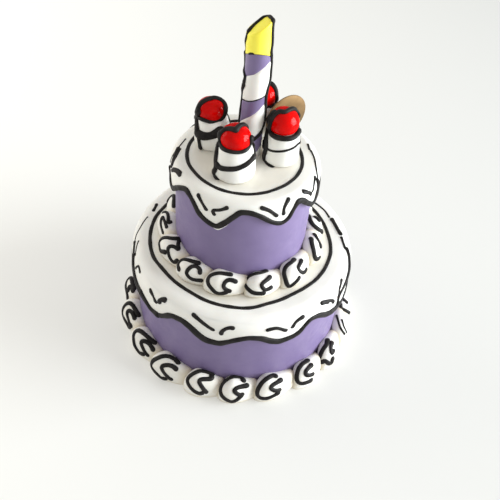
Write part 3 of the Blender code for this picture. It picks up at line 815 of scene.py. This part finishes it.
# The shoulder is the radius of a cap's rounded top edge. The line drop is how far its rim's line
# lies below the table's heights, because the camera looks down on it. The reach is the border's
# outer radius. The halves are the half-widths of the lines.
LOWER = tier_of(
    "lower", shoulder=10 * MM, edge=LOWER_EDGE, lip_shows=None, line_drop=0.8 * MM,
    rim_half=2.5 * MM, rim_shares=LOWER_RIM_SHARES, circle=LOWER_CIRCLE, circle_half=1.5 * MM,
    dashes=LOWER_DASHES, dash_half=1.5 * MM, side_strokes=LOWER_SIDE_STROKES,
    shells=20, front=LOWER_FRONT, strokes=LOWER_STROKES, slim=LOWER_SLIM,
    reach=99.2 * MM, shell_height=20 * MM, stroke_half=1.75 * MM,
)
UPPER = tier_of(
    "upper", shoulder=7 * MM, edge=UPPER_EDGE, lip_shows=UPPER_LIP_SHOWS, line_drop=1.1 * MM,
    rim_half=2.05 * MM, rim_shares=UPPER_RIM_SHARES, circle=UPPER_CIRCLE, circle_half=1.35 * MM,
    dashes=UPPER_DASHES, dash_half=1.3 * MM, side_strokes=UPPER_SIDE_STROKES,
    shells=14, front=UPPER_FRONT, strokes=UPPER_STROKES, slim=UPPER_SLIM,
    reach=65.5 * MM, shell_height=15.5 * MM, stroke_half=1.55 * MM,
)


def cap_point(tier, down):
    """Radius, height and normal of the cap's outer face, down metres from its shoulder's start."""
    curve = tier.shoulder
    turn = clamp(down / curve, 0.0, math.pi / 2)
    radius = tier.cap - curve + curve * math.sin(turn) + min(down, 0.0)
    height = tier.top - curve * (1 - math.cos(turn)) - max(down - curve * math.pi / 2, 0.0)
    return radius, height, math.sin(turn), math.cos(turn)


def on_cap(tier, angle, down):
    """The point of the cap's outer face at an angle, from the tier's own middle."""
    radius, z, _, _ = cap_point(tier, down)
    return spot(radius, angle, z)


def rim_distance(tier, angle):
    """How far down the cap the middle of its rim's line lies, from the shoulder's start."""
    curve = tier.shoulder
    drop = tier.top - round_curve(tier.edge, angle) * MM + tier.line_drop
    if drop < curve:
        return curve * math.acos(1 - drop / curve)
    return curve * math.pi / 2 + drop - curve


def lip(tier, angle):
    """How far the white reaches below the middle of the rim's line."""
    reach = LIP + 0.4 * MM * waver(spot(1, angle), 0.25, 3.7)
    if tier.lip_shows:
        middle, spread, extra = tier.lip_shows
        reach += extra * MM * math.exp(-(((angle - middle) / spread) ** 2))
    return reach


def cap_column(tier, angle, top_rings=14, wall_rings=26):
    """One column of the cap: flat top, shoulder, wall, rounded rim and the inside."""
    flat = tier.cap - tier.shoulder
    last = rim_distance(tier, angle) + lip(tier, angle) - LIP_ROUND
    column = [spot(flat * step / top_rings, angle, tier.top) for step in range(1, top_rings)]
    column += [on_cap(tier, angle, last * step / wall_rings) for step in range(wall_rings + 1)]
    radius, z, out, up = cap_point(tier, last)
    for turn in (25, 50, 75, 100):
        lean = math.radians(turn)
        reach = LIP_ROUND * math.sin(lean)
        inward = LIP_ROUND * (1 - math.cos(lean))
        column.append(spot(radius - out * inward + up * reach, angle, z - up * inward - out * reach))
    bumped = []
    for point in column:
        swell = 0.22 * MM * waver(point, 22 * MM, 1.3) + 0.10 * MM * waver(point, 9 * MM, 4.1)
        bumped.append(point + (outward(point) * out + upright(0.8)) * swell)
    inside = tier.core + 0.3 * MM
    bumped.append(spot(inside, angle, bumped[-1].z + 0.5 * MM))
    bumped.append(spot(inside, angle, tier.top - CAP_ROOF + 0.3 * MM))
    return bumped


def make_cake(tier, wall_rings=32, sides=240):
    """The purple cake, with a slightly uneven wall."""
    top = tier.top - CAP_ROOF
    levels = [(tier.core, tier.base + 0.2 * MM)]
    for step in range(1, wall_rings + 1):
        levels.append((tier.core, tier.base + (top - tier.base - CAKE_ROUND) * step / wall_rings))
    for turn in (22, 45, 68, 90):
        lean = math.radians(turn)
        inward = CAKE_ROUND * (1 - math.cos(lean))
        levels.append((tier.core - inward, top - CAKE_ROUND * (1 - math.sin(lean))))
    rows = []
    for radius, z in levels:
        row = []
        for angle in around(sides):
            point = spot(radius, angle, z)
            swell = 0.25 * MM * waver(point, 24 * MM, 8.2) + 0.08 * MM * waver(point, 8 * MM, 2.2)
            row.append(tier.centre + point + outward(point) * swell)
        rows.append(row)
    skin(tier.name + "_cake", rows, "purple", "purple_icing", tier.name + "_tier")


def make_cap(tier):
    """The white cap, with painted shade on the ledge that its circle surrounds."""
    columns = [cap_column(tier, angle) for angle in around(480, -180)]
    rows = [[tier.centre + point for point in row] for row in zip(*columns)]
    cap = skin(tier.name + "_cap", rows[::-1], "white", "white_icing", tier.name + "_icing")
    ledge = []
    # Painted shade on the flat top inside the circle, under the tier above or the toppings.
    for vertex in cap.data.vertices:
        inside = tier.circle[0][1] * MM - (vertex.co - tier.centre).xy.length
        on_top = vertex.co.z > tier.top - 1 * MM
        ledge.append(LEDGE_PAINTED_SHADE * clamp(inside / LEDGE_FADE) if on_top else 0.0)
    set_depths(cap, "crease", ledge)
    return cap


def make_tier_lines(tier, cap):
    """The wavy rim's line, the drawn circle, the dashes and the outlines at the sides."""
    surface = surface_of(cap)
    lines = ([], [])

    def rim_share(point):
        place = point - tier.centre
        return round_curve(tier.rim_shares, math.degrees(math.atan2(place.x, -place.y)))

    rim = [tier.centre + on_cap(tier, turn, rim_distance(tier, turn)) for turn in around(240, -180)]
    bead(lines, surface, rim, tier.rim_half, RIM_FLAT, closed=True, thick=rim_share)
    forward = Vector((0, -0.5 * tier.line_drop, 0))
    circle = []
    for angle in around(120, -180):
        radius = round_curve(tier.circle, angle) * MM
        circle.append(tier.centre + spot(radius, angle, tier.top) + forward)
    bead(lines, surface, circle, tier.circle_half, CIRCLE_FLAT, SEEDS["circle"], closed=True)
    for number, dash in enumerate(tier.dashes, SEEDS["dash"]):
        stroke = [
            tier.centre + on_cap(tier, angle, down * MM + tier.line_drop) for angle, down in dash
        ]
        bead(lines, surface, stroke, tier.dash_half, DASH_FLAT, number)
    for number, (half, flat, pixels) in enumerate(tier.side_strokes, SEEDS["side"]):
        bead(lines, surface, drawn(pixels, surface), half * MM, flat, number)
    new_piece(tier.name + "_cap_lines", *lines, "black", None, [tier.name + "_icing"])


# The borders

def leaning(share):
    """The point at a share of the way over a shell's section, and down the wall at its end."""
    reach = share * (len(SECTION) + 0.5)
    step = int(reach)
    if step >= len(SECTION) - 1:
        return -1.0, SECTION[-1].y * (1 - (reach - len(SECTION) + 1) / 1.5)
    corners = [item_at(SECTION, step + offset, False) for offset in (-1, 0, 1, 2)]
    point = bend(*corners, reach - step)
    return point.x, max(point.y, 0.0)


def make_shell(tier, node, angle, pitch):
    """A fat comma that leans on the wall: a round head, and a tail that runs to the right."""
    inner = tier.core - SHELL_SUNK
    half = (tier.reach - inner) / 2
    head = inner + half
    nose = HEAD_LENGTH * half
    tail = math.radians(pitch) * head - TAIL_TUCKED * nose
    stations = [1 - math.cos(math.pi / 2 * step / HEAD_STEPS) for step in range(1, HEAD_STEPS + 1)]
    stations += [1 + step / TAIL_STEPS for step in range(1, TAIL_STEPS)]
    seed = scatter.uniform(0, 50)
    puff = scatter.uniform(0.97, 1.03)
    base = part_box(node)[0].z
    rows, painted_shades = [], []
    for station in reversed(stations):
        if station < 1:
            bulge = math.sqrt(1 - (1 - station) ** 2)
            along = -nose * (1 - station)
            width = half * bulge
            middle = head + 0.25 * (half - width)
            high = tier.shell_height * (0.30 + 0.70 * bulge)
        else:
            share = station - 1
            close = math.sqrt(max(0.0, 1 - max(0.0, (share - 0.85) / 0.15) ** 2))
            along = tail * share
            width = half * (1 - 0.50 * share**1.4) * (0.2 + 0.8 * close)
            middle = inner + width
            high = tier.shell_height * (1 - 0.30 * share**1.2) * (0.3 + 0.7 * close)
        # Painted shade: darker at the shell's nose and tail end, where it meets its neighbours, and near
        # its foot, with at least a faint share of it all over.
        ends = max((0.22 - station) / 0.22, (station - 1.55) / 0.30)
        row = []
        for corner in range(SECTION_STEPS):
            across, lift = leaning(corner / (SECTION_STEPS - 1))
            place = spot(middle + width * across, math.degrees(along / head), high * lift)
            swell = 0.35 * MM * waver(place, 8 * MM, seed) * min(1, lift * 3)
            point = turn_about(place + Vector((0, -across, lift)) * swell, angle) + tier.centre
            row.append(Vector((point.x, point.y, base + point.z * puff)))
            painted_shades.append(clamp(max(ends, 0.9 - 3.2 * lift), 0.12, 0.9))
        rows.append(row)
    shell = skin(node + "_icing", rows, "white", "white_icing", node)
    set_depths(shell, "crease", painted_shades)
    return shell


def back_stroke(surface, tier, angle, stroke):
    """A stroke on a shell that the photo doesn't show, cast from outside and above."""
    half = (tier.reach - tier.core) / 2
    inward = turn_about(Vector((0, 1, 0)), angle)
    right = turn_about(X_AXIS, angle)
    way = inward * math.cos(BACK_VIEW_DOWN) - upright(math.sin(BACK_VIEW_DOWN))
    up = inward * math.sin(BACK_VIEW_DOWN) + upright(math.cos(BACK_VIEW_DOWN))
    middle = tier.centre + spot(tier.core + half, angle, tier.base + 1.1 * half)
    shift = scatter.uniform(-0.08, 0.08)
    points = []
    for across, high in stroke:
        start = middle + right * ((across + shift) * half) + up * (high * half)
        points.append(meet(surface, start - way * BACK_VIEW_AWAY, way))
    return points


def make_border(tier):
    """The ring of shells round a tier's foot, with the two strokes on each."""
    spare = tier.shells - len(tier.front)
    step = (tier.front[0] + 360 - tier.front[-1]) / (spare + 1)
    angles = [*tier.front, *(tier.front[-1] + step * (place + 1) for place in range(spare))]
    lines = ([], [])
    nodes = [f"{tier.name}_shell_{number:02d}" for number in range(1, tier.shells + 1)]
    for number, (node, angle) in enumerate(zip(nodes, angles), 1):
        pitch = (angles[number % tier.shells] - angle) % 360
        surface = surface_of(make_shell(tier, node, angle, pitch))
        if number in tier.strokes:
            drawings = [drawn(pixels, surface) for pixels in tier.strokes[number]]
        else:
            drawings = [back_stroke(surface, tier, angle, stroke) for stroke in BACK_STROKES]
        for part, drawing in enumerate(drawings):
            width = tier.stroke_half * tier.slim.get(number, 1.0) * (1.0 if part else OUTER_WIDER)
            bead(lines, surface, drawing, width, SHELL_FLAT, 2 * number + part)
    new_piece(tier.name + "_border_lines", *lines, "black", None, nodes)


# The toppings

def turned_piece(name, profile, place, node, material, slot, swelling, sides=64):
    """A body turned from (radius, height) on a node's foot, with a slightly uneven side."""
    seed = scatter.uniform(0, 50)
    foot = upright(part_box(node)[0].z)
    rows = []
    for radius, z in profile:
        row = []
        for angle in around(sides):
            point = spot(radius, angle, z)
            swell = swelling * waver(point, 10 * MM, seed)
            row.append(place + point * (1 + swell / max(radius, MM)) + foot)
        rows.append(row)
    return skin(name, rows, material, slot, node)


def stub_profile(width, height):
    """A dollop's profile, with a low dome that closes its top."""
    ends = [Vector((radius * MM, z * MM, 0)) for radius, z in STUB]
    profile = [(point.x, point.y) for point in spline(ends, 0.8 * MM)]
    rim, top = profile[-1]
    profile += [(rim * share, top + 0.25 * MM * (1 - share)) for share in (0.8, 0.55, 0.3, 0.1)]
    return [(radius * width, z * height) for radius, z in profile]


def cherry_profile(radius, height):
    """A cherry's profile: a narrow foot, a full belly and a round top."""
    profile = [(radius * 0.80, 0.0), (radius * 0.87, 0.4 * MM)]
    for step in range(1, 7):
        lean = math.radians(-60 + 60 * step / 6)
        profile.append((radius * math.cos(lean * 0.45), CHERRY_WIDEST * (1 + math.sin(lean))))
    for step in range(1, 16):
        lean = math.radians(88 * step / 15)
        dome = (height - CHERRY_WIDEST) * math.sin(lean)
        profile.append((radius * math.cos(lean), CHERRY_WIDEST + dome))
    return profile


def ring_behind(centre, node, reach, above, first, last):
    """Part of a level ring round a node, between two angles at its back."""
    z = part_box(node)[0].z + above
    return [centre + spot(reach, angle, z) for angle in range(first, last + 1, 12)]


def make_topping(name):
    """A dollop of cream with its cherry, and the lines round both."""
    place, width, height, cherry_sizes = TOPPINGS[name]
    radius, cherry_height, shift = (size * MM for size in cherry_sizes)
    dollop_node, cherry_node = "dollop_" + name, "cherry_" + name
    cherry_place = place + X_AXIS * shift
    dollop = turned_piece(
        dollop_node + "_cream", stub_profile(width, height), place, dollop_node,
        "white", "white_icing", 0.35 * MM,
    )
    cherry = turned_piece(
        cherry_node + "_glaze", cherry_profile(radius, cherry_height), cherry_place, cherry_node,
        "red", "red_cherry", 0.3 * MM,
    )
    surface = surface_of(dollop, cherry)
    lines = ([], [])
    draw_strokes(lines, surface, TOPPING_STROKES[name], SEEDS["topping"])
    behind = (
        ring_behind(cherry_place, cherry_node, radius, 1 * MM, 96, 264),
        ring_behind(place, dollop_node, BEHIND_RADIUS * width, 13 * MM, 110, 250),
    )
    for number, ring in enumerate(behind, SEEDS["behind"]):
        bead(lines, surface, ring, BEHIND_HALF, BEHIND_FLAT, number)
    new_piece(name + "_topping_lines", *lines, "black", None, [dollop_node, cherry_node])


# The candle

def candle_middle(z):
    """The candle's middle at a height: it bows to the right between its foot and its tip."""
    share = (z - UPPER.top) / (CANDLE_HIGH - UPPER.top)
    return CANDLE_PLACE + X_AXIS * (CANDLE_BOW * math.sin(math.pi * max(share, 0.0)**1.5))


def joint_height(out):
    """Height of the joint under the yellow tip, which rises towards the front."""
    return CANDLE_JOINT - JOINT_SLOPE * out.y


def strip_depth(angle, z):
    """Metres inside the purple strip from its nearest edge, negative on the white."""
    depth = -1.0
    for turns in range(3):
        place = (angle + 180) % 360 - 180 + 360 * turns
        foot = between(STRIP_FOOT, place) * MM
        top = between(STRIP_TOP, place) * MM
        depth = max(depth, min(z - foot, top - z))
    return depth


def make_candle():
    """The purple and white body, with a groove along the strip's edges."""
    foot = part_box("candle")[0].z
    rows, depths = [], []
    for step in range(CANDLE_RINGS + 1):
        share = step / CANDLE_RINGS
        row = []
        for angle in around(CANDLE_SIDES):
            joint = joint_height(spot(CANDLE_RADIUS, angle)) - BODY_SHORT
            z = foot + (joint - foot) * share
            depth = strip_depth(angle, z)
            groove = 0.45 * MM * math.exp(-((depth / (0.7 * MM)) ** 2))
            swell = 0.15 * MM * waver(spot(CANDLE_RADIUS, angle, z), 9 * MM, 6.6)
            row.append(candle_middle(z) + spot(CANDLE_RADIUS - groove + swell, angle, z))
            depths.append(depth)
        rows.append(row)
    candle = skin("candle_strips", rows, "candle", "candle_icing", "candle")
    set_depths(candle, "strip", depths + [depths[0], depths[-1]])
    return candle


def make_candle_tip(wall_rings=20):
    """The yellow end, cut off at a slant that rises to the right, with a rounded edge."""
    middle = (CANDLE_LOW + CANDLE_HIGH) / 2
    slant = (CANDLE_HIGH - CANDLE_LOW) / (2 * CANDLE_RADIUS)
    rows = []
    for step in range(wall_rings):
        share = step / (wall_rings - 1)
        row = []
        for angle in around(CANDLE_SIDES):
            out = spot(CANDLE_RADIUS, angle)
            joint = joint_height(out) + TIP_SHORT
            z = joint + (middle + slant * out.x - TIP_ROUND - joint) * share
            swell = 0.12 * MM * waver((out.x, out.y, z), 9 * MM, 2.9)
            row.append(candle_middle(z) + spot(CANDLE_RADIUS + swell, angle, z))
        rows.append(row)
    for turn, inset in ((30, 0), (60, 0), (90, 0), (90, 2), (90, 4.5), (90, 6.5)):
        lean = math.radians(turn)
        reach = CANDLE_RADIUS - TIP_ROUND * (1 - math.cos(lean)) - inset * MM
        row = []
        for angle in around(CANDLE_SIDES):
            out = spot(reach, angle)
            z = middle + slant * out.x - TIP_ROUND * (1 - math.sin(lean)) + 0.05 * inset * MM
            row.append(candle_middle(z) + out + upright(z))
        rows.append(row)
    return skin("candle_tip_icing", rows, "yellow", "yellow_icing", "candle_tip")


def make_candle_lines(*carriers):
    lines = ([], [])
    draw_strokes(lines, surface_of(*carriers), CANDLE_STROKES, SEEDS["candle"])
    new_piece("candle_lines", *lines, "black", None, ["candle", "candle_tip"])


def make_disc(sides=72):
    """A thin plain card disc with a softened edge, standing on its rim."""
    low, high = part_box("gold_disc")
    radius = (high.z - low.z) / 2
    middle = (low + high) / 2
    rim, depth = radius - DISC_EDGE, DISC_HALF - DISC_EDGE
    front = ((radius, depth), (rim, DISC_HALF), (radius * 0.5, DISC_HALF))
    profile = [(reach, -deep) for reach, deep in front[::-1]] + list(front)
    face = turn_about(Vector((0, -1, 0)), DISC_TURN)
    side = turn_about(X_AXIS, DISC_TURN)
    rows = []
    for reach, deep in profile:
        row = []
        for angle in around(sides):
            turn = math.radians(angle)
            point = side * math.cos(turn) * reach + upright(math.sin(turn) * reach)
            row.append(middle + point + face * deep)
        rows.append(row)
    skin("gold_card_disc", rows, "gold", "gold_disc", "gold_disc")


# The stage

def make_floor():
    """A pale floor painted a little darker to the right, under the window light, and lighter to the
    left, in the cake's shadow, with a painted glow.
    """
    corners = [(-1, -1, 0), (1, -1, 0), (1, 1, 0), (-1, 1, 0)]
    mesh = bpy.data.meshes.new("floor")
    mesh.from_pydata([Vector(corner) * FLOOR_REACH for corner in corners], [], [(0, 1, 2, 3)])
    floor = add_object("floor", mesh)
    floor.location.z = -0.1 * MM
    material, tree, shader = new_material("pale_floor", 0.7, specular=0.2)
    # Painted light: the colour evens out the window light and the cake's shadow, and the glow lifts the
    # shade.
    axes = new_node(tree, "SeparateXYZ", {"Vector": object_place(tree)})
    across = remap(tree, axes.outputs["X"], -FLOOR_FADE, FLOOR_FADE)
    colour = blend_colours(tree, across, FLOOR_LEFT, FLOOR_RIGHT)
    set_inputs(tree, shader, {"Base Color": colour, **FLOOR_PAINTED_GLOW})
    mesh.materials.append(material)


def make_light(name):
    data = bpy.data.lights.new(name, "AREA")
    data.shape = "DISK"
    place, data.size, data.energy, data.color = LIGHTS[name]
    light = add_object(name, data)
    light.location = place
    light.rotation_euler = (LIGHTS_AIM - light.location).to_track_quat("-Z", "Y").to_euler()


def make_stage():
    """The floor, the room's light and the lamps."""
    make_floor()
    world = bpy.data.worlds.new("soft_room")
    world.use_nodes = True
    set_inputs(world.node_tree, world.node_tree.nodes["Background"], ROOM_LIGHT)
    bpy.context.scene.world = world
    for name in LIGHTS:
        make_light(name)
    bpy.context.scene.view_settings.view_transform = "Standard"


def make_camera():
    data = bpy.data.cameras.new("camera")
    data.sensor_width = SENSOR
    data.lens = FOCAL_PIXELS / PHOTO_SIZE * SENSOR
    camera = add_object("camera", data)
    rows = list(zip(VIEW_RIGHT, VIEW_UP, -FORWARD, CAMERA_PLACE))
    camera.matrix_world = Matrix(rows + [(0, 0, 0, 1)])
    bpy.context.scene.camera = camera


make_camera()
for tier in (LOWER, UPPER):
    make_cake(tier)
    make_tier_lines(tier, make_cap(tier))
for tier in (LOWER, UPPER):
    make_border(tier)
for name in TOPPINGS:
    make_topping(name)
make_candle_lines(make_candle(), make_candle_tip())
make_disc()
make_stage()
